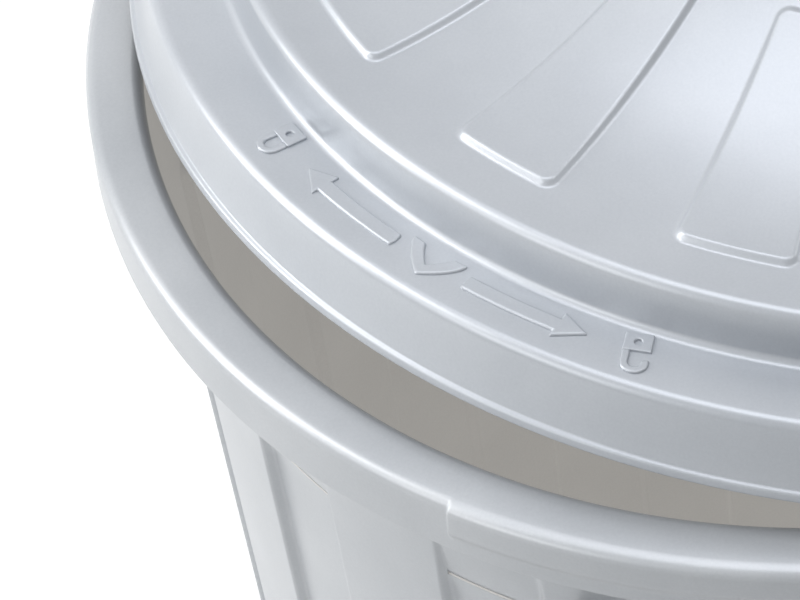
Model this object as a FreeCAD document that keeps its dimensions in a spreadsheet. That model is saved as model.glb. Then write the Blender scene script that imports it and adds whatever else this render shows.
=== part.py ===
"""Round moulded dustbin of about 80 litres with a loose twist-lock lid.

The bin is a tapered thin-walled tub with sixteen sunk panels, a rolled rim with a turned-down
apron, and two swinging carry handles on push-in pins. The lid is one domed moulding with a
bolted-on bridge handle. It lies askew, the way a hand leaves it: its lip sits on the rim at two
places, and on the far side the raised panel's edge hangs just inside the mouth.

Frame: millimetres, +Z up, origin on the floor under the middle of the bin, front towards -Y.
"""
import FreeCAD, Part
import math
import os

import Sketcher

from FreeCAD import Placement, Rotation, Vector

doc = FreeCAD.newDocument("Dustbin")

# ---------------------------------------------------------------- driving dimensions
SIZES = [
    # the tub
    ("can_height", 610, "floor to the top of the rim"),
    ("base_radius", 185, "outside of the wall at the floor"),
    ("collar_radius", 227.5, "outside of the wall level with the apron's foot"),
    ("wall", 2.5, "wall of the tub"),
    ("floor_height", 9, "inside floor above the ground"),
    ("foot_width", 5, "width of the ring that the tub stands on"),
    ("floor_fillet", 14, "inside corner of the floor"),
    # the rim
    ("rim_width", 18.3, "apron beyond the collar"),
    ("rim_radius", "=collar_radius + rim_width", "outside of the apron"),
    ("rim_fall", 0.6, "fall of the rim's top from inside to outside"),
    ("apron_depth", 22, "height of the apron"),
    ("wall_slope", "=(collar_radius - base_radius) / (can_height - apron_depth)", "lean of the wall"),
    ("rim_shoulder", 4, "rounding of the rim's outer edge"),
    ("rim_mouth", 4, "rounding of the rim's inner edge"),
    ("edge_round", 0.8, "rounding of thin edges"),
    # lock rails on the apron, front and back
    ("rail_angle", 44.6, "arc of each lock rail, in degrees"),
    ("rail_proud", 1.6, "how far a rail stands out of the apron"),
    ("rail_depth", 15, "underside of a rail, below the top of the rim"),
    # sunk panels of the tub
    ("panel_count", 16, "panels round the tub"),
    ("panel_angle", 10.4, "arc of one panel, in degrees"),
    ("panel_top", 73, "upper end of a panel, below the top of the rim"),
    ("panel_foot", 42, "lower end of a panel, above the floor"),
    ("panel_sink", 3.5, "depth of a panel"),
    # radial ribs under the floor
    ("rib_count", 8, "ribs under the floor"),
    ("rib_width", 2.4, "thickness of a rib"),
    ("hub_radius", 16, "boss under the middle of the floor"),
    ("rib_clear", 2, "ribs above the ground"),
    # pivot lugs of the carry handles, front and rear
    ("lug_spacing", 87.4, "middle to middle of a pair of lugs"),
    ("lug_thickness", 9, "thickness of a lug"),
    ("lug_height", 20, "height of a lug, twice the rounding of its nose"),
    ("lug_depth", 18, "pivot axis to the root of a lug inside the wall"),
    ("pivot_drop", 72, "pivot axis below the top of the rim"),
    ("pivot_clear", 8.114, "pivot axis in front of the wall"),
    ("pivot_radius", "=base_radius + wall_slope * (can_height - pivot_drop) + pivot_clear",
     "pivot axis from the middle of the bin"),
    # carry handles
    ("pin_radius", 4, "shank of a pivot pin"),
    ("pin_head", 7, "radius of a pin's head"),
    ("pin_head_depth", 2.5, "thickness of a pin's head"),
    ("pin_barb", 0.7, "barb on a pin's end"),
    ("pin_tail", 4, "pin beyond the lug"),
    ("eye_clearance", 0.08, "radial play of a handle on its pin"),
    ("side_gap", 0.4, "play between a handle's arm and its lug"),
    ("arm_thickness", 11, "arm of a carry handle, along the pivot"),
    ("handle_depth", 14, "carry handle, front to back"),
    ("handle_drop", 62, "middle of the grip below the pivot"),
    ("grip_height", 16, "height of the grip bar"),
    ("handle_corner", 16, "outer corner of a carry handle"),
    ("handle_inner_corner", 8, "inner corner of a carry handle"),
    ("handle_round", 3.5, "rounding of a carry handle's edges"),
    # the lid, measured up from the plane of its lip
    ("lid_overhang", 13.3, "lip beyond the apron, all round"),
    ("lid_radius", "=rim_radius + lid_overhang", "outside of the lip"),
    ("lid_wall", 2.3, "wall of the lid"),
    ("lip_height", 3.2, "height of the bead round the lip"),
    ("lip_step", 1.5, "bead beyond the foot of the skirt"),
    ("lip_width", 2.5, "width of the lip's underside"),
    ("skirt_height", 28.3, "corner of the shoulder"),
    ("skirt_draft", 2, "lean of the skirt"),
    ("shoulder_radius", "=lid_radius - lip_step - skirt_draft", "corner of the shoulder"),
    ("band_width", 24.9, "flat band between the shoulder and the step"),
    ("band_rise", 2.3, "rise of the band towards the step"),
    ("step_radius", "=shoulder_radius - band_width", "foot of the raised panel"),
    ("step_height", "=skirt_height + band_rise", "foot of the raised panel"),
    ("step_draft", 1.2, "lean of the step"),
    ("step_rise", 18.5, "rise of the step"),
    ("panel_radius", "=step_radius - step_draft", "corner of the raised panel"),
    ("panel_height", "=step_height + step_rise", "corner of the raised panel"),
    ("lid_round", 4, "rounding of the lid's outer corners"),
    ("step_fillet", 2.5, "fillet at the foot of the raised panel"),
    ("dome_radius", 200, "hollow sweep of the panel up to the crown"),
    ("dome_angle", 33, "steepest slope of the panel, in degrees"),
    ("crown_sweep", 50, "rounding from the slope to the flat crown"),
    # raised wedge pads on the lid's panel
    ("pad_count", 16, "pads round the panel"),
    ("pad_angle", 11.2, "arc of one pad, in degrees"),
    ("pad_rise", 2, "height of a pad"),
    ("pad_inset", 19.5, "outer end of a pad, in from the panel's corner"),
    ("pad_outer", "=panel_radius - pad_inset", "outer end of a pad"),
    ("pad_inner", "=panel_radius - dome_radius * sin(dome_angle * 1deg) + 1.4", "inner end of a pad"),
    # lock lugs inside the lid's skirt
    ("lock_angle", 16, "arc of a lock lug, in degrees"),
    ("lock_clearance", 0.6, "play between a lock lug and the apron"),
    ("lock_bottom", 8.6, "underside of a lock lug above the lip"),
    ("lock_top", 12.2, "top of a lock lug above the lip"),
    # the lid's bridge handle
    ("bridge_length", 150, "length of the bridge handle"),
    ("bridge_height", 42, "height of the bridge handle"),
    ("bridge_width", 34, "width of the bridge handle"),
    ("bridge_end", 4, "height of the bridge handle's ends"),
    ("bridge_opening", 90, "opening of the bridge handle"),
    ("bridge_inside", 27, "height of the opening"),
    ("bridge_round", 6, "rounding of the bridge handle"),
    ("screw_spacing", 120, "middle to middle of the two screws"),
    ("screw_radius", 2.4, "core of a screw"),
    ("screw_bite", 13, "screw inside the bridge handle"),
    ("screw_head", 5, "radius of a screw's head"),
    ("screw_head_depth", 3.2, "height of a screw's head"),
    ("screw_play", 0.5, "radial play of a screw in the lid and the washer"),
    ("washer_radius", 7.5, "outside of a washer"),
    ("washer_depth", 1.2, "thickness of a washer"),
    # how the lid lies
    ("lid_shift", 36.7, "middle of the lid away from the middle of the bin"),
    ("lid_bearing", 140.1, "direction of that shift, in degrees round from the front"),
    ("lid_tilt", 7.87, "how far the lid leans down in that direction, in degrees"),
    ("lid_turn", -32.8, "turn of the lid about its own axis, in degrees"),
    ("rest_gap", 0.25, "air left where the lid rests on the rim"),
]

sheet = doc.addObject("Spreadsheet::Sheet", "Sizes")
for row, (alias, value, meaning) in enumerate(SIZES, start=1):
    sheet.set(f"A{row}", meaning)
    sheet.set(f"B{row}", str(value))
    sheet.setAlias(f"B{row}", alias)
doc.recompute()


def size(expression):
    """The value of a formula of sheet cells, written as Sizes.alias."""
    return float(sheet.evalExpression(expression))


# ---------------------------------------------------------------- drawing helpers
def plane_of(body, role):
    """One of a body's own origin planes."""
    return next(item for item in body.Origin.OriginFeatures if item.Role == role)


def new_body(label):
    body = doc.addObject("PartDesign::Body", label)
    body.Label = label
    return body


def new_sketch(body, name, role, offset=None):
    """A sketch on an origin plane, or at an offset formula along the plane's normal."""
    sketch = body.newObject("Sketcher::SketchObject", name)
    sketch.AttachmentSupport = [(plane_of(body, role), "")]
    sketch.MapMode = "FlatFace"
    if offset:
        sketch.setExpression("AttachmentOffset.Base.z", offset)
    return sketch


def tie(sketch, formula, kind, *where):
    """Adds a dimension that follows a formula."""
    index = sketch.addConstraint(Sketcher.Constraint(kind, *where, size(formula)))
    sketch.setExpression(f"Constraints[{index}]", formula)


def arc_through(start, end, radius, left):
    """Centre of the arc from start to end whose centre lies to the left, or to the right."""
    middle = (start + end) * 0.5
    along = end - start
    reach = math.sqrt(max(radius ** 2 - (along.Length / 2) ** 2, 0.0))
    normal = Vector(-along.y, along.x, 0).normalize()
    return middle + normal * (reach if left else -reach)


def outline(sketch, corners):
    """A closed outline. A corner is (x, y), or (x, y, radius, left) where an arc arrives."""
    points = [Vector(size(corner[0]), size(corner[1]), 0) for corner in corners]
    ends = []
    for index, corner in enumerate(corners):
        start, end = points[index - 1], points[index]
        if len(corner) == 2:
            edge = sketch.addGeometry(Part.LineSegment(start, end), False)
            ends.append((edge, 1, 2))
            continue
        radius, left = corner[2], corner[3]
        centre = arc_through(start, end, size(radius), left)
        first, last = (start, end) if left else (end, start)
        turn = [math.atan2(p.y - centre.y, p.x - centre.x) for p in (first, last)]
        circle = Part.Circle(centre, Vector(0, 0, 1), size(radius))
        edge = sketch.addGeometry(Part.ArcOfCircle(circle, turn[0], turn[1]), False)
        ends.append((edge, 1, 2) if left else (edge, 2, 1))
    for index, corner in enumerate(corners):
        edge, start, end = ends[index]
        following = ends[(index + 1) % len(ends)]
        sketch.addConstraint(Sketcher.Constraint("Coincident", edge, end, *following[:2]))
    for index, corner in enumerate(corners):
        edge, start, end = ends[index]
        tie(sketch, corner[0], "DistanceX", edge, end)
        tie(sketch, corner[1], "DistanceY", edge, end)
        if len(corner) == 4:
            tie(sketch, corner[2], "Radius", edge)


def hole_in(sketch, x, y, radius):
    """A circle in a sketch, which leaves a hole in what is made from it."""
    centre = Vector(size(x), size(y), 0)
    edge = sketch.addGeometry(Part.Circle(centre, Vector(0, 0, 1), size(radius)), False)
    tie(sketch, radius, "Radius", edge)
    tie(sketch, x, "DistanceX", edge, 3)
    tie(sketch, y, "DistanceY", edge, 3)


def spin(body, kind, name, sketch, angle=None):
    """Turns a sketch round the upright axis: all the way, or through a centred angle."""
    feature = body.newObject(f"PartDesign::{kind}", name)
    feature.Profile = sketch
    feature.ReferenceAxis = (sketch, ["V_Axis"])
    feature.Angle = 360
    if angle:
        feature.Midplane = True
        feature.setExpression("Angle", angle)
    doc.recompute()
    return feature


def extrude(body, kind, name, sketch, length):
    """Pads or pockets a sketch by the same amount to both sides."""
    feature = body.newObject(f"PartDesign::{kind}", name)
    feature.Profile = sketch
    feature.SideType = "Symmetric"
    feature.setExpression("Length", length)
    doc.recompute()
    return feature


def repeat_round(body, name, features, count):
    """Copies features evenly round the upright axis."""
    pattern = body.newObject("PartDesign::PolarPattern", name)
    pattern.Originals = features
    pattern.Axis = (plane_of(body, "Z_Axis"), [""])
    pattern.Angle = 360
    pattern.setExpression("Occurrences", count)
    body.Tip = pattern
    doc.recompute()
    return pattern


def round_edges(body, name, wanted, radius):
    """Fillets the edges of the body so far for which wanted(edge) holds."""
    base = body.Tip
    names = [f"Edge{i}" for i, edge in enumerate(base.Shape.Edges, start=1) if wanted(edge)]
    fillet = body.newObject("PartDesign::Fillet", name)
    fillet.Base = (base, names)
    fillet.setExpression("Radius", radius)
    body.Tip = fillet
    doc.recompute()
    return fillet


def ring(radius, height):
    """Picks full circles round the upright axis, by formulas of radius and height."""
    wanted_radius, wanted_height = size(radius), size(height)

    def test(edge):
        curve = edge.Curve
        return (isinstance(curve, Part.Circle) and abs(curve.Radius - wanted_radius) < 0.05
                and abs(curve.Center.z - wanted_height) < 0.05
                and math.hypot(curve.Center.x, curve.Center.y) < 0.01)
    return test


def any_of(*tests):
    return lambda edge: any(test(edge) for test in tests)


# ---------------------------------------------------------------- formulas shared by the parts
def wall_radius(height, inset="0"):
    """Radius of the tub's outer wall at a height, less an inset."""
    return f"Sizes.base_radius + Sizes.wall_slope * ({height}) - ({inset})"


RIM_UNDERSIDE = "Sizes.can_height - Sizes.wall"
APRON_FOOT = "Sizes.can_height - Sizes.apron_depth"
MOUTH_RADIUS = wall_radius("Sizes.can_height", "Sizes.wall")
PIVOT_HEIGHT = "Sizes.can_height - Sizes.pivot_drop"
SKIRT_FOOT = "Sizes.lid_radius - Sizes.lip_step"


def dome_point(offset, angle):
    """A point of the panel's hollow sweep, moved down by offset along its normal."""
    reach = f"(Sizes.dome_radius + ({offset}))"
    x = f"Sizes.panel_radius - {reach} * sin({angle})"
    y = f"Sizes.panel_height + Sizes.dome_radius - {reach} * cos({angle})"
    return x, y


def crown_point(offset):
    """Where the rounding of the crown ends in the flat top, moved down by offset."""
    sweep = "(Sizes.dome_radius + Sizes.crown_sweep)"
    x = f"Sizes.panel_radius - {sweep} * sin(Sizes.dome_angle * 1deg)"
    y = f"{CROWN_HEIGHT} - ({offset})"
    return x, y


CROWN_HEIGHT = ("(Sizes.panel_height + (Sizes.dome_radius + Sizes.crown_sweep)"
                " * (1 - cos(Sizes.dome_angle * 1deg)))")
DOME_ANGLE = "Sizes.dome_angle * 1deg"


# ---------------------------------------------------------------- the tub
def make_can_body():
    body = new_body("can_body")
    solid = new_sketch(body, "can_outline", "XZ_Plane")
    outline(solid, [
        ("0", "0"),
        ("Sizes.base_radius", "0"),
        (wall_radius(RIM_UNDERSIDE), RIM_UNDERSIDE),
        ("Sizes.rim_radius - Sizes.wall", RIM_UNDERSIDE),
        ("Sizes.rim_radius - Sizes.wall", APRON_FOOT),
        ("Sizes.rim_radius", APRON_FOOT),
        ("Sizes.rim_radius", "Sizes.can_height - Sizes.rim_fall"),
        (MOUTH_RADIUS, "Sizes.can_height"),
        ("0", "Sizes.can_height"),
    ])
    spin(body, "Revolution", "can_turned", solid)
    add_pivot_lugs(body)
    hollow_the_can(body)
    add_lock_rails(body)
    add_panels(body)
    add_floor_ribs(body)
    return body


def add_lock_rails(body):
    """Two rails on the apron, front and back, that the lid's lock lugs slide under."""
    sketch = new_sketch(body, "rail_outline", "YZ_Plane")
    proud = "Sizes.rim_radius + Sizes.rail_proud"
    low, high = "Sizes.can_height - Sizes.rail_depth", "Sizes.can_height - Sizes.rim_fall"
    root = "Sizes.rim_radius - Sizes.wall / 2"
    outline(sketch, [
        (root, low),
        (proud, low),
        (proud, f"{high} - Sizes.rim_shoulder"),
        (f"{proud} - Sizes.rim_shoulder", high, "Sizes.rim_shoulder", True),
        ("Sizes.rim_radius - Sizes.rim_shoulder - Sizes.edge_round", high),
        ("Sizes.rim_radius - Sizes.rim_shoulder - Sizes.edge_round", f"{high} - Sizes.wall / 2"),
        (root, f"{high} - Sizes.rim_shoulder"),
    ])
    rail = spin(body, "Revolution", "rail", sketch, "Sizes.rail_angle")
    repeat_round(body, "rails", [rail], "2")


def add_pivot_lugs(body):
    """Four lugs with pin holes, rooted in the wall between two panels, front and rear."""
    lugs = []
    nose_radius = "Sizes.lug_height / 2"
    for end, side in (("left", -1), ("right", 1)):
        sketch = new_sketch(body, f"lug_outline_{end}", "YZ_Plane",
                            f"{side} * Sizes.lug_spacing / 2")
        low = f"{PIVOT_HEIGHT} - Sizes.lug_height / 2"
        high = f"{PIVOT_HEIGHT} + Sizes.lug_height / 2"
        root = "Sizes.pivot_radius - Sizes.lug_depth"
        nose = "Sizes.pivot_radius"
        tip = f"{nose} + {nose_radius}"
        outline(sketch, [(root, low), (nose, low), (tip, PIVOT_HEIGHT, nose_radius, True),
                         (nose, high, nose_radius, True), (root, high)])
        hole_in(sketch, "Sizes.pivot_radius", PIVOT_HEIGHT, "Sizes.pin_radius")
        lugs.append(extrude(body, "Pad", f"lug_{end}", sketch, "Sizes.lug_thickness"))
    repeat_round(body, "lugs", lugs, "2")


def hollow_the_can(body):
    """Cuts the inside and the space under the floor, then rounds the rim and the corners."""
    inside = new_sketch(body, "can_inside", "XZ_Plane")
    outline(inside, [
        ("0", "Sizes.floor_height"),
        (wall_radius("Sizes.floor_height", "Sizes.wall"), "Sizes.floor_height"),
        (MOUTH_RADIUS, "Sizes.can_height"),
        ("0", "Sizes.can_height"),
    ])
    spin(body, "Groove", "can_cavity", inside)
    under = new_sketch(body, "can_underside", "XZ_Plane")
    foot = "Sizes.base_radius - Sizes.foot_width"
    outline(under, [("0", "0"), (foot, "0"), (foot, "Sizes.floor_height - Sizes.wall"),
                    ("0", "Sizes.floor_height - Sizes.wall")])
    spin(body, "Groove", "foot_recess", under)
    round_edges(body, "rim_shoulder_round",
                ring("Sizes.rim_radius", "Sizes.can_height - Sizes.rim_fall"), "Sizes.rim_shoulder")
    round_edges(body, "rim_mouth_round", ring(MOUTH_RADIUS, "Sizes.can_height"), "Sizes.rim_mouth")
    round_edges(body, "channel_round", ring(wall_radius(RIM_UNDERSIDE), RIM_UNDERSIDE),
                "Sizes.rim_mouth - Sizes.wall")
    thin = any_of(ring("Sizes.rim_radius", APRON_FOOT),
                  ring("Sizes.rim_radius - Sizes.wall", APRON_FOOT),
                  ring("Sizes.base_radius", "0"), ring(foot, "0"))
    round_edges(body, "thin_edges", thin, "Sizes.edge_round")
    floor_corner = ring(wall_radius("Sizes.floor_height", "Sizes.wall"), "Sizes.floor_height")
    round_edges(body, "floor_corner", floor_corner, "Sizes.floor_fillet")


def panel_section(sketch, face, back, top, foot):
    """Section of a panel: from the formula face(height) inwards to back(height)."""
    outline(sketch, [
        (face(foot), foot),
        (face(top), top),
        (back(f"{top} - Sizes.panel_sink / 2"), f"{top} - Sizes.panel_sink / 2"),
        (back(f"{foot} + Sizes.panel_sink / 2"), f"{foot} + Sizes.panel_sink / 2"),
    ])


def add_panels(body):
    """Sunk panels round the outside, with the same wall pushed in behind each."""
    behind = new_sketch(body, "panel_back_outline", "XZ_Plane")
    top = "Sizes.can_height - Sizes.panel_top"
    panel_section(behind, lambda z: wall_radius(z, "Sizes.wall / 2"),
                  lambda z: wall_radius(z, "Sizes.wall + Sizes.panel_sink"),
                  f"{top} + Sizes.wall", "Sizes.panel_foot - Sizes.wall")
    wider = "Sizes.panel_angle + 2 * Sizes.wall / Sizes.base_radius * 180 / pi"
    back = spin(body, "Revolution", "panel_back", behind, wider)
    repeat_round(body, "panel_backs", [back], "Sizes.panel_count")
    front = new_sketch(body, "panel_outline", "XZ_Plane")
    panel_section(front, lambda z: wall_radius(z, "-Sizes.panel_sink / 8"),
                  lambda z: wall_radius(z, "Sizes.panel_sink"), top, "Sizes.panel_foot")
    sunk = spin(body, "Groove", "panel_sunk", front, "Sizes.panel_angle")
    repeat_round(body, "panels_sunk", [sunk], "Sizes.panel_count")


def add_floor_ribs(body):
    """A boss under the floor, and ribs from it to the ring that the tub stands on."""
    boss = new_sketch(body, "hub_outline", "XZ_Plane")
    middle = "Sizes.floor_height - Sizes.wall / 2"
    outline(boss, [("0", "0"), ("Sizes.hub_radius", "0"), ("Sizes.hub_radius", middle),
                   ("0", middle)])
    spin(body, "Revolution", "hub", boss)
    sketch = new_sketch(body, "rib_outline", "XZ_Plane")
    reach = "Sizes.base_radius - Sizes.foot_width / 2"
    under = "Sizes.floor_height - Sizes.wall / 2"
    root = "Sizes.hub_radius / 2"
    outline(sketch, [(root, "Sizes.rib_clear"), (reach, "Sizes.rib_clear"),
                     (reach, under), (root, under)])
    rib = extrude(body, "Pad", "rib", sketch, "Sizes.rib_width")
    repeat_round(body, "ribs", [rib], "Sizes.rib_count")


# ---------------------------------------------------------------- the lid
def lid_corners(offset):
    """The lid's section from the skirt's foot to the crown, moved in by offset."""
    return [
        (f"Sizes.shoulder_radius - ({offset})", f"Sizes.skirt_height - ({offset})"),
        (f"Sizes.step_radius - ({offset})", f"Sizes.step_height - ({offset})"),
        (f"Sizes.panel_radius - ({offset})", dome_point(offset, "0deg")[1]),
        (*dome_point(offset, DOME_ANGLE), f"Sizes.dome_radius + ({offset})", False),
        (*crown_point(offset), f"Sizes.crown_sweep - ({offset})", True),
    ]


def make_lid_shell():
    body = new_body("lid_shell")
    solid = new_sketch(body, "lid_outline", "XZ_Plane")
    outline(solid, [
        ("0", "0"),
        ("Sizes.lid_radius", "0"),
        ("Sizes.lid_radius", "Sizes.lip_height"),
        (SKIRT_FOOT, "Sizes.lip_height + Sizes.lip_step / 2"),
        *lid_corners("0"),
        ("0", CROWN_HEIGHT),
    ])
    spin(body, "Revolution", "lid_turned", solid)
    hollow = new_sketch(body, "lid_inside", "XZ_Plane")
    outline(hollow, [
        ("0", "0"),
        ("Sizes.lid_radius - Sizes.lip_width", "0"),
        (f"{SKIRT_FOOT} - Sizes.lid_wall", "Sizes.lip_height"),
        *lid_corners("Sizes.lid_wall"),
        ("0", f"{CROWN_HEIGHT} - Sizes.lid_wall"),
    ])
    spin(body, "Groove", "lid_hollow", hollow)
    round_lid_corners(body)
    add_lid_pads(body)
    add_lock_lugs(body)
    drill_lid(body)
    return body


def round_lid_corners(body):
    corners = any_of(ring("Sizes.shoulder_radius", "Sizes.skirt_height"),
                     ring("Sizes.panel_radius", "Sizes.panel_height"))
    round_edges(body, "lid_corner_rounds", corners, "Sizes.lid_round")
    inner = any_of(
        ring("Sizes.shoulder_radius - Sizes.lid_wall", "Sizes.skirt_height - Sizes.lid_wall"),
        ring("Sizes.panel_radius - Sizes.lid_wall", "Sizes.panel_height - Sizes.lid_wall"))
    round_edges(body, "lid_inner_rounds", inner, "Sizes.lid_round - Sizes.lid_wall")
    round_edges(body, "step_foot", ring("Sizes.step_radius", "Sizes.step_height"),
                "Sizes.step_fillet")
    lip = any_of(ring("Sizes.lid_radius", "Sizes.lip_height"),
                 ring(SKIRT_FOOT, "Sizes.lip_height + Sizes.lip_step / 2"))
    round_edges(body, "lip_rounds", lip, "Sizes.edge_round")


def add_lid_pads(body):
    """Raised wedge pads on the panel."""
    sketch = new_sketch(body, "pad_outline", "XZ_Plane")
    below, above = "Sizes.lid_wall / 2", "-Sizes.pad_rise"
    start = "asin((Sizes.panel_radius - Sizes.pad_outer) / Sizes.dome_radius)"
    stop = "asin((Sizes.panel_radius - Sizes.pad_inner) / Sizes.dome_radius)"
    outline(sketch, [
        (*dome_point(below, start), f"Sizes.dome_radius + {below}", True),
        dome_point(above, start),
        (*dome_point(above, stop), "Sizes.dome_radius - Sizes.pad_rise", False),
        dome_point(below, stop),
    ])
    pad = spin(body, "Revolution", "pad", sketch, "Sizes.pad_angle")
    repeat_round(body, "pads", [pad], "Sizes.pad_count")


def add_lock_lugs(body):
    """Two lugs inside the skirt, under the arrow mark and opposite."""
    sketch = new_sketch(body, "lock_outline", "YZ_Plane")
    inner = "Sizes.rim_radius + Sizes.lock_clearance"
    outer = f"{SKIRT_FOOT} - Sizes.lid_wall"
    outline(sketch, [(inner, "Sizes.lock_bottom"), (outer, "Sizes.lock_bottom"),
                     (outer, "Sizes.lock_top"), (inner, "Sizes.lock_top")])
    lug = spin(body, "Revolution", "lock_lug", sketch, "Sizes.lock_angle")
    repeat_round(body, "lock_lugs", [lug], "2")


def drill_lid(body):
    """Clearance holes for the bridge handle's screws."""
    sketch = new_sketch(body, "screw_holes", "XY_Plane")
    for side in (-1, 1):
        hole_in(sketch, f"{side} * Sizes.screw_spacing / 2", "0",
                "Sizes.screw_radius + Sizes.screw_play")
    extrude(body, "Pocket", "screw_clearance", sketch, f"2 * {CROWN_HEIGHT} + 2")


# ---------------------------------------------------------------- the bridge handle and its screws
def arch_radius(span, rise):
    """Radius of an arc by its span and rise."""
    return f"((({span}) / 2) ^ 2 + ({rise}) ^ 2) / (2 * ({rise}))"


def make_lid_handle():
    body = new_body("lid_handle")
    side = new_sketch(body, "bridge_side", "XZ_Plane")
    half, gap = "Sizes.bridge_length / 2", "Sizes.bridge_opening / 2"
    rise = "Sizes.bridge_height - Sizes.bridge_end"
    outline(side, [
        (f"-{half}", "0"),
        (f"-{gap}", "0"),
        (gap, "0", arch_radius("Sizes.bridge_opening", "Sizes.bridge_inside"), False),
        (half, "0"),
        (half, "Sizes.bridge_end"),
        (f"-{half}", "Sizes.bridge_end", arch_radius("Sizes.bridge_length", rise), True),
    ])
    extrude(body, "Pad", "bridge", side, "Sizes.bridge_width")
    edge_y = size("Sizes.bridge_width / 2")

    def long_edge(edge):
        box = edge.BoundBox
        curved = isinstance(edge.Curve, Part.Circle)
        return curved and abs(abs(box.Center.y) - edge_y) < 0.01 and box.YLength < 0.01
    round_edges(body, "bridge_rounds", long_edge, "Sizes.bridge_round")
    holes = new_sketch(body, "pilot_holes", "XY_Plane")
    for side_of in (-1, 1):
        hole_in(holes, f"{side_of} * Sizes.screw_spacing / 2", "0", "Sizes.screw_radius")
    extrude(body, "Pocket", "pilots", holes, "2 * Sizes.screw_bite")
    return body


def turned_part(label, corners):
    """A part turned from one half section, standing on its own upright axis."""
    body = new_body(label)
    sketch = new_sketch(body, f"{label}_section", "XZ_Plane")
    outline(sketch, corners)
    spin(body, "Revolution", f"{label}_turned", sketch)
    return body


def make_screw(label):
    """Pan-head screw, head down, its seat at the origin and its shank upwards."""
    reach = "Sizes.washer_depth + Sizes.lid_wall + Sizes.screw_bite"
    body = turned_part(label, [
        ("0", "-Sizes.screw_head_depth"),
        ("Sizes.screw_head", "-Sizes.screw_head_depth"),
        ("Sizes.screw_head", "0"),
        ("Sizes.screw_radius", "0"),
        ("Sizes.screw_radius", f"{reach} - Sizes.screw_radius"),
        ("0", reach),
    ])
    crown = ring("Sizes.screw_head", "-Sizes.screw_head_depth")
    round_edges(body, f"{label}_crown", crown, "Sizes.screw_head_depth / 2")
    return body


def make_washer(label):
    bore = "Sizes.screw_radius + Sizes.screw_play"
    return turned_part(label, [(bore, "0"), ("Sizes.washer_radius", "0"),
                               ("Sizes.washer_radius", "Sizes.washer_depth"),
                               (bore, "Sizes.washer_depth")])


# ---------------------------------------------------------------- the carry handles and their pins
ARM_INSIDE = "(Sizes.lug_spacing / 2 + Sizes.lug_thickness / 2 + Sizes.side_gap)"
ARM_OUTSIDE = f"({ARM_INSIDE} + Sizes.arm_thickness)"


def make_carry_handle(label):
    """A U of two arms and a grip, hanging from its pivot axis, which runs along Y."""
    body = new_body(label)
    face = new_sketch(body, f"{label}_face", "YZ_Plane")
    top = "Sizes.handle_depth / 2"
    grip_low = "-Sizes.handle_drop - Sizes.grip_height / 2"
    grip_high = "-Sizes.handle_drop + Sizes.grip_height / 2"
    outline(face, [
        (f"-{ARM_OUTSIDE}", top), (f"-{ARM_OUTSIDE}", grip_low),
        (ARM_OUTSIDE, grip_low), (ARM_OUTSIDE, top),
        (ARM_INSIDE, top), (ARM_INSIDE, grip_high),
        (f"-{ARM_INSIDE}", grip_high), (f"-{ARM_INSIDE}", top),
    ])
    extrude(body, "Pad", f"{label}_plate", face, "Sizes.handle_depth")
    round_handle(body, label)
    bore = new_sketch(body, f"{label}_bore", "XZ_Plane")
    hole_in(bore, "0", "0", "Sizes.pin_radius + Sizes.eye_clearance")
    extrude(body, "Pocket", f"{label}_eyes", bore, f"2 * {ARM_OUTSIDE} + 2")
    return body


def round_handle(body, label):
    """Rounds the U's corners, then its long edges, then the tops of the arms."""
    def across(edge, y, z):
        box = edge.BoundBox
        return (box.XLength > 1 and box.YLength < 0.01 and box.ZLength < 0.01
                and abs(abs(box.Center.y) - size(y)) < 0.01 and abs(box.Center.z - size(z)) < 0.01)
    low = "-Sizes.handle_drop - Sizes.grip_height / 2"
    high = "-Sizes.handle_drop + Sizes.grip_height / 2"
    round_edges(body, f"{label}_outer_corners", lambda e: across(e, ARM_OUTSIDE, low),
                "Sizes.handle_corner")
    round_edges(body, f"{label}_inner_corners", lambda e: across(e, ARM_INSIDE, high),
                "Sizes.handle_inner_corner")
    half = size("Sizes.handle_depth / 2")

    def arm_top(edge):
        box = edge.BoundBox
        return (box.YLength > 1 and box.XLength < 0.01 and abs(box.Center.z - half) < 0.01
                and abs(abs(box.Center.x) - half) < 0.01)
    round_edges(body, f"{label}_arm_tops", arm_top, "Sizes.handle_depth / 2 - 0.3")

    def long_edge(edge):
        box = edge.BoundBox
        return box.XLength < 0.01 and abs(abs(box.Center.x) - half) < 0.01
    round_edges(body, f"{label}_edges", long_edge, "Sizes.handle_round")


def make_pin(label):
    """Push-in pin along +Z: a flat head at the origin, a shank, and a barbed tail."""
    seat = "Sizes.arm_thickness + Sizes.side_gap + Sizes.lug_thickness"
    tail = f"{seat} + Sizes.pin_tail"
    return turned_part(label, [
        ("0", "-Sizes.pin_head_depth"),
        ("Sizes.pin_head - Sizes.edge_round", "-Sizes.pin_head_depth"),
        ("Sizes.pin_head", "-Sizes.pin_head_depth + Sizes.edge_round"),
        ("Sizes.pin_head", "0"),
        ("Sizes.pin_radius", "0"),
        ("Sizes.pin_radius", seat),
        ("Sizes.pin_radius + Sizes.pin_barb", seat),
        ("Sizes.pin_radius - Sizes.pin_barb", tail),
        ("0", tail),
    ])


# ---------------------------------------------------------------- how the lid lies on the rim
def rim_surface(radius):
    """Height of the rim's upper surface at a radius, from the top of the rim, or None."""
    mouth, outer = size(MOUTH_RADIUS), size("Sizes.rim_radius")
    mouth_round, shoulder = size("Sizes.rim_mouth"), size("Sizes.rim_shoulder")
    fall = size("Sizes.rim_fall")
    if radius < mouth or radius > outer:
        return None
    height = -fall * (radius - mouth) / (outer - mouth)
    if radius < mouth + mouth_round:
        over = mouth + mouth_round - radius
        height -= mouth_round - math.sqrt(mouth_round ** 2 - over ** 2)
    if radius > outer - shoulder:
        over = radius - (outer - shoulder)
        height -= shoulder - math.sqrt(shoulder ** 2 - over ** 2)
    return height


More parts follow.
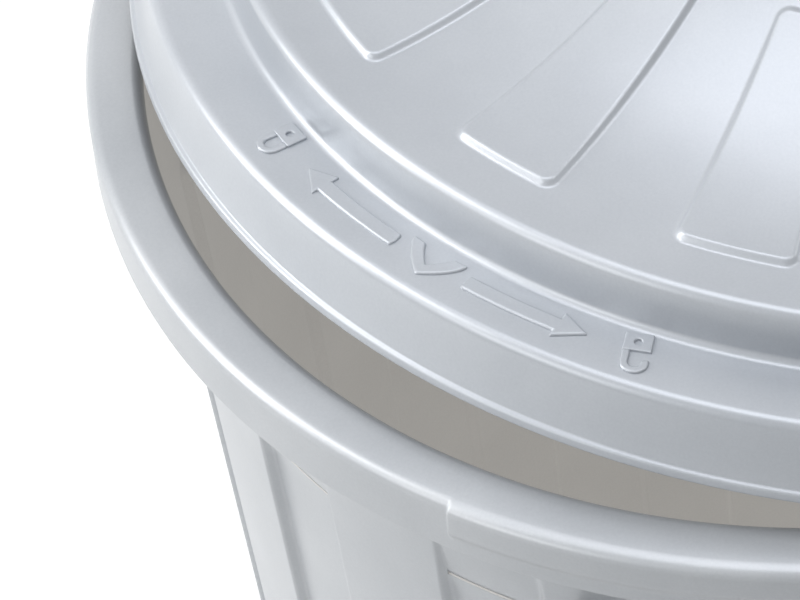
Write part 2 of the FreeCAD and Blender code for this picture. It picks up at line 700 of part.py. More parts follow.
def lid_underside():
    """Points (radius, height) of the lid's under surface: the lip, the skirt and the panel."""
    wall, lip = size("Sizes.lid_wall"), size("Sizes.lid_radius")
    points = [(lip, 0.0), (lip - size("Sizes.lip_width"), 0.0),
              (size(SKIRT_FOOT) - wall, size("Sizes.lip_height")),
              (size("Sizes.step_radius") - wall, size("Sizes.step_height") - wall)]
    corner, crown = size("Sizes.panel_radius"), size("Sizes.pad_inner")
    reach = size("Sizes.dome_radius") + wall
    middle = size("Sizes.panel_height + Sizes.dome_radius")
    rings = 24
    for step in range(rings + 1):
        radius = corner - wall - step * (corner - wall - crown) / rings
        points.append((radius, middle - math.sqrt(reach ** 2 - (corner - radius) ** 2)))
    return points


def least_gap(tilt):
    """Least upright gap between the lid and the rim, with the lid's lip level with the rim."""
    shift = size("Sizes.lid_shift")
    gaps = []
    turns = 1440
    for radius, rise in lid_underside():
        for step in range(turns + 1):
            turn = math.pi * step / turns
            along = radius * math.cos(turn)
            x = shift + along * math.cos(tilt) + rise * math.sin(tilt)
            z = rise * math.cos(tilt) - along * math.sin(tilt)
            rim = rim_surface(math.hypot(x, radius * math.sin(turn)))
            if rim is not None:
                gaps.append(z - rim)
    return min(gaps)


def lid_placement():
    """Turned about its own axis, tilted down towards its bearing, and shifted that way."""
    tilt = math.radians(size("Sizes.lid_tilt"))
    bearing = math.radians(size("Sizes.lid_bearing"))
    lean = Vector(math.sin(bearing), -math.cos(bearing), 0)
    hinge = Vector(-lean.y, lean.x, 0)
    height = size("Sizes.can_height + Sizes.rest_gap") - least_gap(tilt)
    turn = Rotation(Vector(0, 0, 1), size("Sizes.lid_turn"))
    spot = lean * size("Sizes.lid_shift") + Vector(0, 0, height)
    return Placement(spot, Rotation(hinge, math.degrees(tilt)) * turn)


# ---------------------------------------------------------------- assembly
parts = {"can_body": make_can_body()}

lid_place = lid_placement()
crown = Placement(Vector(0, 0, size(CROWN_HEIGHT)), Rotation())
parts["lid_shell"] = make_lid_shell()
parts["lid_shell"].Placement = lid_place
parts["lid_handle"] = make_lid_handle()
parts["lid_handle"].Placement = lid_place * crown
for end, side in (("left", -1), ("right", 1)):
    under = size("Sizes.lid_wall + Sizes.washer_depth")
    seat = Placement(Vector(side * size("Sizes.screw_spacing") / 2, 0, -under), Rotation())
    parts[f"lid_handle_washer_{end}"] = make_washer(f"lid_handle_washer_{end}")
    parts[f"lid_handle_washer_{end}"].Placement = lid_place * crown * seat
    parts[f"lid_handle_screw_{end}"] = make_screw(f"lid_handle_screw_{end}")
    parts[f"lid_handle_screw_{end}"].Placement = lid_place * crown * seat

for name, side in (("front", -1), ("rear", 1)):
    hinge = Vector(0, side * size("Sizes.pivot_radius"), size(PIVOT_HEIGHT))
    parts[f"carry_handle_{name}"] = make_carry_handle(f"carry_handle_{name}")
    parts[f"carry_handle_{name}"].Placement = Placement(hinge, Rotation(Vector(0, 0, 1), 90 * side))
    for end, way in (("left", -1), ("right", 1)):
        label = f"handle_pin_{name}_{end}"
        inwards = Rotation(Vector(0, 1, 0), -90 * way)
        parts[label] = make_pin(label)
        parts[label].Placement = Placement(hinge + Vector(way * size(ARM_OUTSIDE), 0, 0), inwards)

doc.recompute()
broken = [item.Name for item in doc.Objects if set(item.State) & {"Invalid", "Error"}]
if broken:
    raise RuntimeError(f"not built: {', '.join(broken)}")

os.makedirs("parts", exist_ok=True)
for label, body in parts.items():
    shape = body.Shape
    if shape.isNull() or not shape.isValid() or len(shape.Solids) != 1:
        raise RuntimeError(f"{label} is not one valid solid")
    shape.exportStep(f"parts/{label}.step")
    print(f"{label}: {shape.Volume / 1000:.1f} cm3, box {shape.BoundBox}")
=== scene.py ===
"""Silver moulded dustbin with its lid lying askew: finish, fine shape, camera and light.

The tub and the lid are remade here as fine turned meshes, to the same sizes as their CAD nodes,
so that every moulded radius catches the light. Everything is in metres in the CAD's frame.
"""
import math

import bmesh
import bpy
from mathutils import Matrix, Vector


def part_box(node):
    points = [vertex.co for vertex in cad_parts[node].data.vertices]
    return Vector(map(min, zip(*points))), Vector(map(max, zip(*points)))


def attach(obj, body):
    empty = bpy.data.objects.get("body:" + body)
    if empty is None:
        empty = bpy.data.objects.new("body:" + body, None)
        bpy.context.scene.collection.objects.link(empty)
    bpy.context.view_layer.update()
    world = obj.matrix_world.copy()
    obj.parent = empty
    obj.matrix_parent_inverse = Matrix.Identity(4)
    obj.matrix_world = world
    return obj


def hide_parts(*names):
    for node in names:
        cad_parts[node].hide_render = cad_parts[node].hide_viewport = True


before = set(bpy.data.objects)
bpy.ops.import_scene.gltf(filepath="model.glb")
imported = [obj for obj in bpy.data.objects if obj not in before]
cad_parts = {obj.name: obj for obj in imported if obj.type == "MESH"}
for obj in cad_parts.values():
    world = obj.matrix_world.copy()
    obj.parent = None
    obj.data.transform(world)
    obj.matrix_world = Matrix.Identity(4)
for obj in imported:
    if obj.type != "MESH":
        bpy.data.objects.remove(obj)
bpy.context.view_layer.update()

MM = 0.001

# ---------------------------------------------------------------- sizes shared with the CAD, in mm
CAN_HEIGHT, BASE_RADIUS, COLLAR_RADIUS, WALL = 610.0, 185.0, 227.5, 2.5
APRON_RADIUS, APRON_DEPTH, RIM_FALL = 245.8, 22.0, 0.6
SHOULDER_ROUND, MOUTH_ROUND, THIN_ROUND = 4.0, 4.0, 0.8
FLOOR_HEIGHT, FLOOR_FILLET, FOOT_WIDTH = 9.0, 14.0, 5.0
RAIL_HALF_ANGLE, RAIL_PROUD, RAIL_DEPTH = 22.3, 1.6, 15.0
PANEL_COUNT, PANEL_HALF_ANGLE, PANEL_SINK = 16, 5.2, 3.5
PANEL_TOP, PANEL_FOOT, PANEL_ROUND, PANEL_CORNER = CAN_HEIGHT - 73.0, 42.0, 2.6, 3.0
HUB_RADIUS, RIB_WIDTH, RIB_CLEAR, RIB_COUNT = 16.0, 2.4, 2.0, 8
PIVOT_RADIUS, PIVOT_HEIGHT = 232.0, CAN_HEIGHT - 72.0
LUG_SPACING, LUG_THICKNESS, LUG_HEIGHT, LUG_ROOT = 87.4, 9.0, 20.0, 218.3

LID_RADIUS, LID_WALL, LIP_HEIGHT, LIP_STEP, LIP_WIDTH = 259.1, 2.3, 3.2, 1.5, 2.5
SHOULDER = (255.6, 28.3)
STEP_FOOT = (230.7, 30.6)
PANEL_CORNER_AT = (229.5, 49.1)
DOME_RADIUS, DOME_ANGLE, CROWN_SWEEP = 200.0, 33.0, 50.0
DOME_STEPS, CROWN_STEPS = 44, 8
LID_ROUND, STEP_ROUND = 4.0, 3.0
LID_INNER_ROUND, STEP_INNER_ROUND = 1.7, 4.8
PAD_COUNT, PAD_HALF_ANGLE, PAD_RISE, PAD_OUTER, PAD_INNER = 16, 5.6, 2.0, 210.0, 122.0
PAD_CORNER, PAD_ROUND = 5.0, 2.2
LOCK_HALF_ANGLE, LOCK_INNER, LOCK_BOTTOM, LOCK_TOP = 8.0, 246.4, 8.6, 12.2
LID_SHIFT, LID_BEARING, LID_TILT, LID_TURN = 36.7, 140.1, 7.87, -32.8


# ---------------------------------------------------------------- placing
def bearing_vector(degrees):
    """Level direction, counted from the front (-Y) towards +X."""
    angle = math.radians(degrees)
    return Vector((math.sin(angle), -math.cos(angle), 0))


def lid_matrix():
    """Where the lid lies: shifted, tilted down that way, and turned about its own axis."""
    lean = bearing_vector(LID_BEARING)
    hinge = Vector((-lean.y, lean.x, 0))
    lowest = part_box("lid_shell")[0][2]
    height = lowest + LID_RADIUS * MM * math.sin(math.radians(LID_TILT))
    spot = lean * LID_SHIFT * MM + Vector((0, 0, height))
    tilt = Matrix.Rotation(math.radians(LID_TILT), 4, hinge)
    return Matrix.Translation(spot) @ tilt @ Matrix.Rotation(math.radians(LID_TURN), 4, "Z")


LID = lid_matrix()


# ---------------------------------------------------------------- profiles
def rounded(corners):
    """Polyline through (r, z, radius) corners, with an arc of that radius at each."""
    points = []
    last = len(corners) - 1
    for index, (r, z, radius) in enumerate(corners):
        here = Vector((r, z))
        if radius == 0 or index in (0, last):
            points.append(here)
            continue
        back = (Vector(corners[index - 1][:2]) - here).normalized()
        on = (Vector(corners[index + 1][:2]) - here).normalized()
        opening = back.angle(on)
        reach = radius / math.tan(opening / 2)
        middle = here + (back + on).normalized() * radius / math.sin(opening / 2)
        first, final = here + back * reach - middle, here + on * reach - middle
        steps = max(3, round(math.degrees(math.pi - opening) / 11))
        turn = math.atan2(final.y, final.x) - math.atan2(first.y, first.x)
        turn = (turn + math.pi) % math.tau - math.pi
        for step in range(steps + 1):
            angle = turn * step / steps
            points.append(middle + Matrix.Rotation(angle, 2) @ first)
    return points


def refined(points, spacing):
    """Walks the polyline and halves every stretch that is longer than spacing asks."""
    result = [points[0]]
    for start, end in zip(points, points[1:]):
        stack = [(start, end)]
        while stack:
            a, b = stack.pop()
            middle = (a + b) / 2
            if (b - a).length > min(spacing(*a), spacing(*middle), spacing(*b)):
                stack += [(middle, b), (a, middle)]
            else:
                result.append(b)
    return result


def normals_of(points):
    """Unit normals to the right of the polyline's direction, which is out of the solid."""
    result = []
    for index in range(len(points)):
        along = points[min(index + 1, len(points) - 1)] - points[max(index - 1, 0)]
        result.append(Vector((along.y, -along.x)).normalized())
    return result


def ease(value):
    """0 to 1 with a round start and a round end."""
    value = min(max(value, 0.0), 1.0)
    return value * value * (3 - 2 * value)


def box_distance(x, y, half_x, half_y, corner):
    """Signed distance outside a rectangle with rounded corners; negative inside."""
    dx, dy = abs(x) - half_x + corner, abs(y) - half_y + corner
    outside = math.hypot(max(dx, 0), max(dy, 0))
    return outside + min(max(dx, dy), 0) - corner


def spread(count, edges, fine, width, coarse):
    """Azimuths in degrees: count equal sectors, finely spaced near each edge of the sector."""
    sector = 360 / count
    angles, angle = [], -sector / 2
    while angle < sector / 2 - 1e-6:
        angles.append(angle)
        near = min(abs(abs(angle) - edge) for edge in edges)
        step = fine if near < width else min(coarse, max(fine, (near - width) * 0.6))
        angle += step
    gap = sector / 2 - angles[-1]
    if gap < fine * 0.5:
        angles.pop()
    return [sector * number + angle for number in range(count) for angle in angles]


def linked(name, mesh, matrix=None):
    """An object for a mesh, with the mesh's own points moved by the matrix."""
    if matrix:
        mesh.transform(matrix)
    piece = bpy.data.objects.new(name, mesh)
    bpy.context.collection.objects.link(piece)
    return piece


def soften(piece, width, segments=2):
    """Rounds a piece's sharp edges by a width in mm."""
    rounding = piece.modifiers.new("soft_edges", "BEVEL")
    rounding.width = width * MM
    rounding.segments = segments
    rounding.limit_method = "ANGLE"
    rounding.angle_limit = math.radians(30)
    rounding.harden_normals = True


def lathe(name, profile, azimuths, moved=None, matrix=None):
    """A mesh turned from a closed (r, z) profile. moved(r, z, azimuth, normal) shifts a point."""
    normals = normals_of(profile)
    verts, faces = [], []
    rings = []
    for point, normal in zip(profile, normals):
        if point.x < 1e-6:
            rings.append([len(verts)])
            verts.append((0, 0, point.y * MM))
            continue
        ring = []
        for azimuth in azimuths:
            r, z = point
            if moved:
                r, z = moved(r, z, azimuth, normal)
            direction = bearing_vector(azimuth)
            ring.append(len(verts))
            verts.append((direction.x * r * MM, direction.y * r * MM, z * MM))
        rings.append(ring)
    count = len(azimuths)
    for lower, upper in zip(rings, rings[1:]):
        for index in range(count):
            following = (index + 1) % count
            if len(lower) == 1 and len(upper) > 1:
                faces.append((lower[0], upper[following], upper[index]))
            elif len(upper) == 1 and len(lower) > 1:
                faces.append((lower[index], lower[following], upper[0]))
            elif len(lower) > 1:
                faces.append((lower[index], lower[following], upper[following], upper[index]))
    mesh = bpy.data.meshes.new(name)
    mesh.from_pydata(verts, [], faces)
    mesh.shade_smooth()
    return linked(name, mesh, matrix)


def wrap(azimuth, sector):
    """Azimuth counted from the middle of the nearest sector."""
    return (azimuth + sector / 2) % sector - sector / 2


# ---------------------------------------------------------------- the tub
def wall_at(z):
    """Radius of the tub's outer wall."""
    slope = (COLLAR_RADIUS - BASE_RADIUS) / (CAN_HEIGHT - APRON_DEPTH)
    return BASE_RADIUS + slope * z


def can_profile():
    """Closed section of the tub: up the outside, over the rim, down the inside, and under."""
    top, foot = CAN_HEIGHT, CAN_HEIGHT - APRON_DEPTH
    mouth = wall_at(top) - WALL
    under = top - WALL
    inner_foot = BASE_RADIUS - FOOT_WIDTH
    corners = [
        (0, 0, 0), (HUB_RADIUS, 0, 0.8), (HUB_RADIUS, FLOOR_HEIGHT - WALL, 1.0),
        (inner_foot, FLOOR_HEIGHT - WALL, 1.0), (inner_foot, 0, THIN_ROUND),
        (BASE_RADIUS, 0, THIN_ROUND), (wall_at(under), under, 2.0),
        (APRON_RADIUS - WALL, under, 1.5), (APRON_RADIUS - WALL, foot, THIN_ROUND),
        (APRON_RADIUS, foot, THIN_ROUND), (APRON_RADIUS, top - RIM_FALL, SHOULDER_ROUND),
        (mouth, top, MOUTH_ROUND),
        (wall_at(FLOOR_HEIGHT) - WALL, FLOOR_HEIGHT, FLOOR_FILLET), (0, FLOOR_HEIGHT, 0),
    ]

    def spacing(r, z):
        near_end = min(abs(z - PANEL_TOP), abs(z - PANEL_FOOT))
        if near_end < 6 and r > 100:
            return 0.85
        return 4 if z > foot - 2 else 40
    return refined(rounded(corners), spacing)


def panel_depth(r, z, azimuth, margin):
    """How deep the tub's panel is at a point, 0 to 1, widened by margin."""
    across = math.radians(wrap(azimuth, 360 / PANEL_COUNT)) * r
    half = math.radians(PANEL_HALF_ANGLE) * wall_at(z) + margin
    middle, tall = (PANEL_TOP + PANEL_FOOT) / 2, (PANEL_TOP - PANEL_FOOT) / 2 + margin
    outside = box_distance(across, z - middle, half, tall, PANEL_CORNER + margin)
    return ease(-outside / PANEL_ROUND)


def can_moved(r, z, azimuth, normal):
    """Sinks the panels into the wall and raises the two lock rails on the apron."""
    outer = wall_at(z)
    if 20 < z < PANEL_TOP + 12:
        if abs(r - outer) < 0.3:
            return r - PANEL_SINK * panel_depth(r, z, azimuth, 0), z
        if abs(r - outer + WALL) < 0.3:
            return r - PANEL_SINK * panel_depth(r, z, azimuth, WALL), z
    if r > APRON_RADIUS - SHOULDER_ROUND - 0.5 and z > CAN_HEIGHT - RAIL_DEPTH - 2:
        off = RAIL_HALF_ANGLE - min(abs(wrap(azimuth, 360)), abs(wrap(azimuth + 180, 360)))
        side = ease(math.radians(off) * APRON_RADIUS / 1.2)
        low = ease((z - CAN_HEIGHT + RAIL_DEPTH) / 1.0)
        facing = ease((r - APRON_RADIUS + SHOULDER_ROUND) / SHOULDER_ROUND)
        return r + RAIL_PROUD * side * low * facing, z
    return r, z


def plate(name, outline, thickness, matrix, bevel):
    """A flat outline in XY, made as thick as asked along Z about its middle, with soft edges."""
    mesh = bmesh.new()
    low = -thickness * MM / 2
    face = mesh.faces.new([mesh.verts.new((x * MM, y * MM, low)) for x, y in outline])
    mesh.normal_update()
    raised = bmesh.ops.extrude_face_region(mesh, geom=[face])
    moved = [item for item in raised["geom"] if isinstance(item, bmesh.types.BMVert)]
    bmesh.ops.translate(mesh, verts=moved, vec=(0, 0, thickness * MM))
    bmesh.ops.recalc_face_normals(mesh, faces=mesh.faces)
    data = bpy.data.meshes.new(name)
    mesh.to_mesh(data)
    mesh.free()
    data.shade_smooth()
    piece = linked(name, data, matrix)
    if bevel:
        soften(piece, bevel, 3)
    return piece


def make_tub():
    """The tub, its pivot lugs and its floor ribs."""
    azimuths = spread(PANEL_COUNT, (PANEL_HALF_ANGLE, PANEL_HALF_ANGLE + 0.9), 0.2, 0.65, 1.6)
    rail_ends = [centre + side * RAIL_HALF_ANGLE for centre in (0, 180) for side in (-1, 1)]
    azimuths += [end + step * 0.1 - 0.35 for end in rail_ends for step in range(8)]
    azimuths = sorted({round(angle % 360, 3) for angle in azimuths})
    tub = lathe("tub", can_profile(), azimuths, can_moved)
    pieces = [tub]
    nose = LUG_HEIGHT / 2
    arc = [(PIVOT_RADIUS + nose * math.cos(a), nose * math.sin(a))
           for a in (math.radians(step) for step in range(-90, 91, 10))]
    outline = [(LUG_ROOT, -nose), *arc, (LUG_ROOT, nose)]
    upright = Matrix.Rotation(math.radians(90), 4, "X")
    for side, angle in (("front", -90), ("rear", 90)):
        for end in (-1, 1):
            spot = Matrix.Translation((0, end * LUG_SPACING / 2 * MM, PIVOT_HEIGHT * MM))
            turned = Matrix.Rotation(math.radians(angle), 4, "Z") @ spot @ upright
            pieces.append(plate(f"pivot_lug_{side}_{end + 1}", outline, LUG_THICKNESS, turned, 1.2))
    reach = BASE_RADIUS - FOOT_WIDTH / 2
    tall = FLOOR_HEIGHT - WALL / 2 - RIB_CLEAR
    section = [(HUB_RADIUS / 2, -tall / 2), (reach, -tall / 2), (reach, tall / 2),
               (HUB_RADIUS / 2, tall / 2)]
    for number in range(RIB_COUNT):
        lift = Matrix.Translation((0, 0, (RIB_CLEAR + tall / 2) * MM))
        turned = Matrix.Rotation(math.tau * number / RIB_COUNT, 4, "Z") @ lift @ upright
        pieces.append(plate(f"floor_rib_{number}", section, RIB_WIDTH, turned, 0))
    for piece in pieces:
        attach(piece, "can")
    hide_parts("can_body")
    return pieces


# ---------------------------------------------------------------- the lid
def dome_points(offset):
    """The panel's hollow sweep and the crown, moved down by offset, from the corner inwards."""
    corner_r, corner_z = PANEL_CORNER_AT
    reach = DOME_RADIUS + offset
    points = []
    for step in range(1, DOME_STEPS + 1):
        angle = math.radians(DOME_ANGLE * step / DOME_STEPS)
        points.append((corner_r - reach * math.sin(angle),
                       corner_z + DOME_RADIUS - reach * math.cos(angle)))
    sweep = CROWN_SWEEP - offset
    both = DOME_RADIUS + CROWN_SWEEP
    centre = (corner_r - both * math.sin(math.radians(DOME_ANGLE)),
              corner_z + DOME_RADIUS - both * math.cos(math.radians(DOME_ANGLE)))
    for step in range(1, CROWN_STEPS + 1):
        angle = math.radians(DOME_ANGLE * (1 - step / CROWN_STEPS))
        points.append((centre[0] + sweep * math.sin(angle), centre[1] + sweep * math.cos(angle)))
    return points


def lid_profile():
    """Closed section of the lid: from the middle of its underside out to the lip and back."""
    outer_foot = LID_RADIUS - LIP_STEP
    inner = [(r - LID_WALL, z - LID_WALL, radius) for (r, z), radius in (
        (SHOULDER, LID_INNER_ROUND), (STEP_FOOT, STEP_INNER_ROUND),
        (PANEL_CORNER_AT, LID_INNER_ROUND))]
    inside = rounded([(outer_foot - LID_WALL, LIP_HEIGHT, 0), *inner,
                      (*dome_points(LID_WALL)[2], 0)])
    dome_in = [Vector(point) for point in dome_points(LID_WALL)[3:]]
    outside = rounded([
        (LID_RADIUS - LIP_WIDTH, 0, 0), (LID_RADIUS, 0, 0.5), (LID_RADIUS, LIP_HEIGHT, 0.9),
        (outer_foot, LIP_HEIGHT + LIP_STEP / 2, 0.7), (*SHOULDER, LID_ROUND),
        (*STEP_FOOT, STEP_ROUND), (*PANEL_CORNER_AT, LID_ROUND), (*dome_points(0)[2], 0)])
    dome_out = [Vector(point) for point in dome_points(0)[3:]]
    crown_in, crown_out = Vector((0, dome_in[-1].y)), Vector((0, dome_out[-1].y))
    under = list(reversed([*inside, *dome_in, crown_in]))
    over = [*outside, *dome_out, crown_out]

    def spacing(r, z):
        if z > SHOULDER[1] + 4 and min(abs(r - PAD_OUTER), abs(r - PAD_INNER)) < 7:
            return 0.7
        return 9 if r > 90 else 30
    return under + refined(over, spacing)


def pad_height(r, azimuth):
    """How high a pad stands at a point of the panel, 0 to 1."""
    across = math.radians(wrap(azimuth, 360 / PAD_COUNT)) * r
    half = math.radians(PAD_HALF_ANGLE) * r
    middle, tall = (PAD_OUTER + PAD_INNER) / 2, (PAD_OUTER - PAD_INNER) / 2
    outside = box_distance(across, r - middle, half, tall, PAD_CORNER)
    return ease(-outside / PAD_ROUND)


def lid_moved(r, z, azimuth, normal):
    """Raises the pads on the upper side of the panel."""
    if normal.y < 0 or not PAD_INNER - 8 < r < PAD_OUTER + 8 or z < PANEL_CORNER_AT[1] - 1:
        return r, z
    lift = PAD_RISE * pad_height(r, azimuth)
    return r + normal.x * lift, z + normal.y * lift


def make_lid():
    """The lid's shell and the two lock lugs inside its skirt."""
    azimuths = spread(PAD_COUNT, (PAD_HALF_ANGLE,), 0.19, 1.2, 1.4)
    profile = lid_profile()
    shell = lathe("lid", profile, azimuths, lid_moved, LID)
    pieces = [shell]
    for number in range(2):
        outer = LID_RADIUS - LIP_STEP - LID_WALL
        corners = [(LOCK_INNER, LOCK_BOTTOM), (outer, LOCK_BOTTOM),
                   (outer, LOCK_TOP), (LOCK_INNER, LOCK_TOP)]
        pieces.append(arc_bar(f"lock_lug_{number}", corners, 180 * number, LOCK_HALF_ANGLE))
    for piece in pieces:
        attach(piece, "lid")
    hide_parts("lid_shell")
    return pieces


def arc_bar(name, corners, centre, half_angle):
    """A bar of constant (r, z) section bent round the lid's axis, closed at its ends."""
    steps = 16
    verts, faces = [], []
    for step in range(steps + 1):
        direction = bearing_vector(centre - half_angle + 2 * half_angle * step / steps)
        verts += [(direction.x * r * MM, direction.y * r * MM, z * MM) for r, z in corners]
    size = len(corners)
    for step in range(steps):
        for index in range(size):
            a, b = step * size + index, step * size + (index + 1) % size
            faces.append((a, b, b + size, a + size))
    faces += [tuple(reversed(range(size))), tuple(range(steps * size, steps * size + size))]
    mesh = bpy.data.meshes.new(name)
    mesh.from_pydata(verts, [], faces)
    piece = linked(name, mesh, LID)
    soften(piece, 0.5)
    return piece


# ---------------------------------------------------------------- raised marks on the lid's band
MARK_RISE, MARK_SINK, MARK_EDGE = 0.9, 0.6, 0.75
ARROW_TIP, ARROW_NECK, ARROW_TAIL = 13.8, 11.35, 3.4
ARROW_HEAD = (235.8, 241.0, 247.0)
ARROW_SHAFT = (238.8, 244.5)
LOCK_MARK_AT = 17.7


def band_height(r):
    """Height of the band's surface between the shoulder and the step."""
    share = (SHOULDER[0] - r) / (SHOULDER[0] - STEP_FOOT[0])
    return SHOULDER[1] + share * (STEP_FOOT[1] - SHOULDER[1])


def mark(name, outline, holes=()):
    """A raised mark from an outline of (r, azimuth) points that follows the band."""
    mesh = bmesh.new()

    def loop(points):
        ring = []
        for r, azimuth in points:
            direction = bearing_vector(azimuth)
            ring.append(mesh.verts.new((direction.x * r * MM, direction.y * r * MM,
                                        (band_height(r) - MARK_SINK) * MM)))
        return [mesh.edges.new((ring[i - 1], ring[i])) for i in range(len(ring))]
    edges = loop(outline)
    for hole in holes:
        edges += loop(hole)
    bmesh.ops.triangle_fill(mesh, edges=edges, use_beauty=True)
    base = list(mesh.faces)
    raised = bmesh.ops.extrude_face_region(mesh, geom=base)
    lifted = [item for item in raised["geom"] if isinstance(item, bmesh.types.BMVert)]
    bmesh.ops.translate(mesh, verts=lifted, vec=(0, 0, (MARK_RISE + MARK_SINK) * MM))
    bmesh.ops.dissolve_limit(mesh, angle_limit=math.radians(1), verts=mesh.verts, edges=mesh.edges)
    bmesh.ops.recalc_face_normals(mesh, faces=mesh.faces)
    data = bpy.data.meshes.new(name)
    mesh.to_mesh(data)
    mesh.free()
    data.shade_smooth()
    piece = linked(name, data, LID)
    soften(piece, MARK_EDGE, 4)
    dress(piece, LID_PLASTIC)
    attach(piece, "lid")
    return piece


def arrow(name, side):
    """A bent arrow that points away from the middle mark."""
    low, high = ARROW_SHAFT
    steps = [ARROW_TAIL + (ARROW_NECK - ARROW_TAIL) * step / 10 for step in range(11)]
    points = [(high, azimuth) for azimuth in steps]
    points += [(ARROW_HEAD[2], ARROW_NECK), (ARROW_HEAD[1], ARROW_TIP), (ARROW_HEAD[0], ARROW_NECK)]
    points += [(low, azimuth) for azimuth in reversed(steps)]
    points += [((low + high) / 2, ARROW_TAIL - 0.1)]
    return mark(name, [(r, side * azimuth) for r, azimuth in points])


def curved_arm(start, end, bend, steps=8):
    """Points of one side of the middle mark, from the arm's end to the tip on the axis."""
    return [(start[0] + (end - start[0]) * step / steps, start[1] * (1 - (step / steps) ** bend))
            for step in range(steps + 1)]


def chevron():
    """The middle mark: a V with curved arms, pointing outwards."""
    outer = curved_arm((236.0, 2.65), 248.5, 1.6)
    inner = curved_arm((236.4, 1.4), 243.4, 1.25)
    loop = outer[:-1] + [(r, -azimuth) for r, azimuth in reversed(outer)]
    loop += [(r, -azimuth) for r, azimuth in inner] + inner[-2::-1]
    return mark("middle_mark", loop)


def local_mark(name, centre, shapes, turn):
    """Marks drawn in mm about a centre (r, azimuth): x along the rim, y outwards."""
    r0, azimuth0 = centre
    angle = math.radians(turn)
    for number, (points, holes) in enumerate(shapes):
        def place(x, y):
            u = x * math.cos(angle) - y * math.sin(angle)
            v = x * math.sin(angle) + y * math.cos(angle)
            return r0 + v, azimuth0 + math.degrees(u / r0)
        mark(f"{name}_{number}", [place(*point) for point in points],
             [[place(*point) for point in hole] for hole in holes])


def ring_points(cx, cy, radius, start, end, steps):
    return [(cx + radius * math.cos(math.radians(start + (end - start) * step / steps)),
             cy + radius * math.sin(math.radians(start + (end - start) * step / steps)))
            for step in range(steps + 1)]


def padlocks():
    """A shut padlock and an open one, shackle outwards."""
    body = [(-4.6, -7.6), (4.6, -7.6), (4.6, -0.4), (-4.6, -0.4)]
    keyhole = list(reversed(ring_points(0, -4.0, 1.3, 0, 330, 11)))
    shut = (ring_points(0, 3.2, 4.5, 0, 180, 12) + [(-4.5, -0.6), (-1.9, -0.6)]
            + ring_points(0, 3.2, 1.9, 180, 0, 10) + [(1.9, -0.6), (4.5, -0.6)])
    open_one = (ring_points(0, 4.2, 4.5, -20, 180, 12) + [(-4.5, -0.6), (-1.9, -0.6)]
                + ring_points(0, 4.2, 1.9, 180, -20, 10))
    local_mark("shut_padlock", (241.4, -LOCK_MARK_AT), [(body, [keyhole]), (shut, [])], 0)
    local_mark("open_padlock", (241.4, LOCK_MARK_AT), [(body, [keyhole]), (open_one, [])], -12)


# ---------------------------------------------------------------- colours and nodes
def linear(code):
    """Linear RGBA of an sRGB hex colour."""
    values = [int(code[place:place + 2], 16) / 255 for place in (1, 3, 5)]
    return tuple(v / 12.92 if v <= 0.04045 else ((v + 0.055) / 1.055) ** 2.4
                 for v in values) + (1.0,)


def add(tree, kind, settings=None, links=None):
    """Adds a node, sets its properties or inputs, and links its inputs."""
    node = tree.nodes.new(kind)
    for name, value in (settings or {}).items():
        if isinstance(name, str) and hasattr(node, name):
            setattr(node, name, value)
        else:
            node.inputs[name].default_value = value
    for name, source in (links or {}).items():
        tree.links.new(source, node.inputs[name])
    return node


def new_material(name):
    material = bpy.data.materials.new(name)
    material.use_nodes = True
    material.node_tree.nodes.clear()
    return material, material.node_tree


# Painted glow of the tub's hollow: emission colour and strength that stand in for daylight coming
# through the thin wall.
PAINTED_INSIDE_GLOW, PAINTED_INSIDE_GLOW_STRENGTH = "#F6F3EE", 0.2


def silver_polypropylene(name, light, dark, roughness, grain, glow=0.0):
    """Injection-moulded polypropylene with aluminium pigment: satin, with soft flow clouds.

    The pigment gives a metal-like sheen under a plastic skin. Flow clouds are about 60 mm,
    pigment specks 0.9 mm (drawn coarser than real), the moulded skin's grain 1.6 mm. The glow is
    a painted glow: emission that stands in for daylight coming through the thin wall into the
    hollow.
    """
    material, tree = new_material(name)
    place = add(tree, "ShaderNodeTexCoord").outputs["Object"]
    clouds = add(tree, "ShaderNodeTexNoise", {"Scale": 1 / 0.06, "Detail": 3.0, "Roughness": 0.5},
                 {"Vector": place})
    specks = add(tree, "ShaderNodeTexNoise", {"Scale": 1 / 0.0009, "Detail": 1.0},
                 {"Vector": place})
    blend = add(tree, "ShaderNodeMath", {"operation": "MULTIPLY_ADD", 1: 0.35},
                {0: specks.outputs["Fac"], 2: clouds.outputs["Fac"]})
    ramp = add(tree, "ShaderNodeValToRGB", links={"Fac": blend.outputs["Value"]})
    ramp.color_ramp.elements[0].position, ramp.color_ramp.elements[0].color = 0.25, linear(dark)
    ramp.color_ramp.elements[1].position, ramp.color_ramp.elements[1].color = 0.98, linear(light)
    skin = add(tree, "ShaderNodeTexNoise", {"Scale": 1 / 0.0016, "Detail": 2.0}, {"Vector": place})
    dull = add(tree, "ShaderNodeMapRange", {"To Min": roughness - 0.03, "To Max": roughness + 0.05},
               {"Value": clouds.outputs["Fac"]})
    edges = add(tree, "ShaderNodeBevel", {"samples": 4, "Radius": 0.6 * MM})
    bump = add(tree, "ShaderNodeBump", {"Strength": grain, "Distance": 0.02 * MM},
               {"Height": skin.outputs["Fac"], "Normal": edges.outputs["Normal"]})
    # The emission is a painted glow, used only on the tub's inside finish; its strength is 0 on the
    # others.
    shader = add(tree, "ShaderNodeBsdfPrincipled",
                 {"Metallic": 0.3, "IOR": 1.49, "Coat Weight": 0.3, "Coat Roughness": 0.2,
                  "Emission Color": linear(PAINTED_INSIDE_GLOW), "Emission Strength": glow},
                 {"Base Color": ramp.outputs["Color"], "Roughness": dull.outputs["Result"],
                  "Normal": bump.outputs["Normal"]})
    add(tree, "ShaderNodeOutputMaterial", links={"Surface": shader.outputs["BSDF"]})
    return material


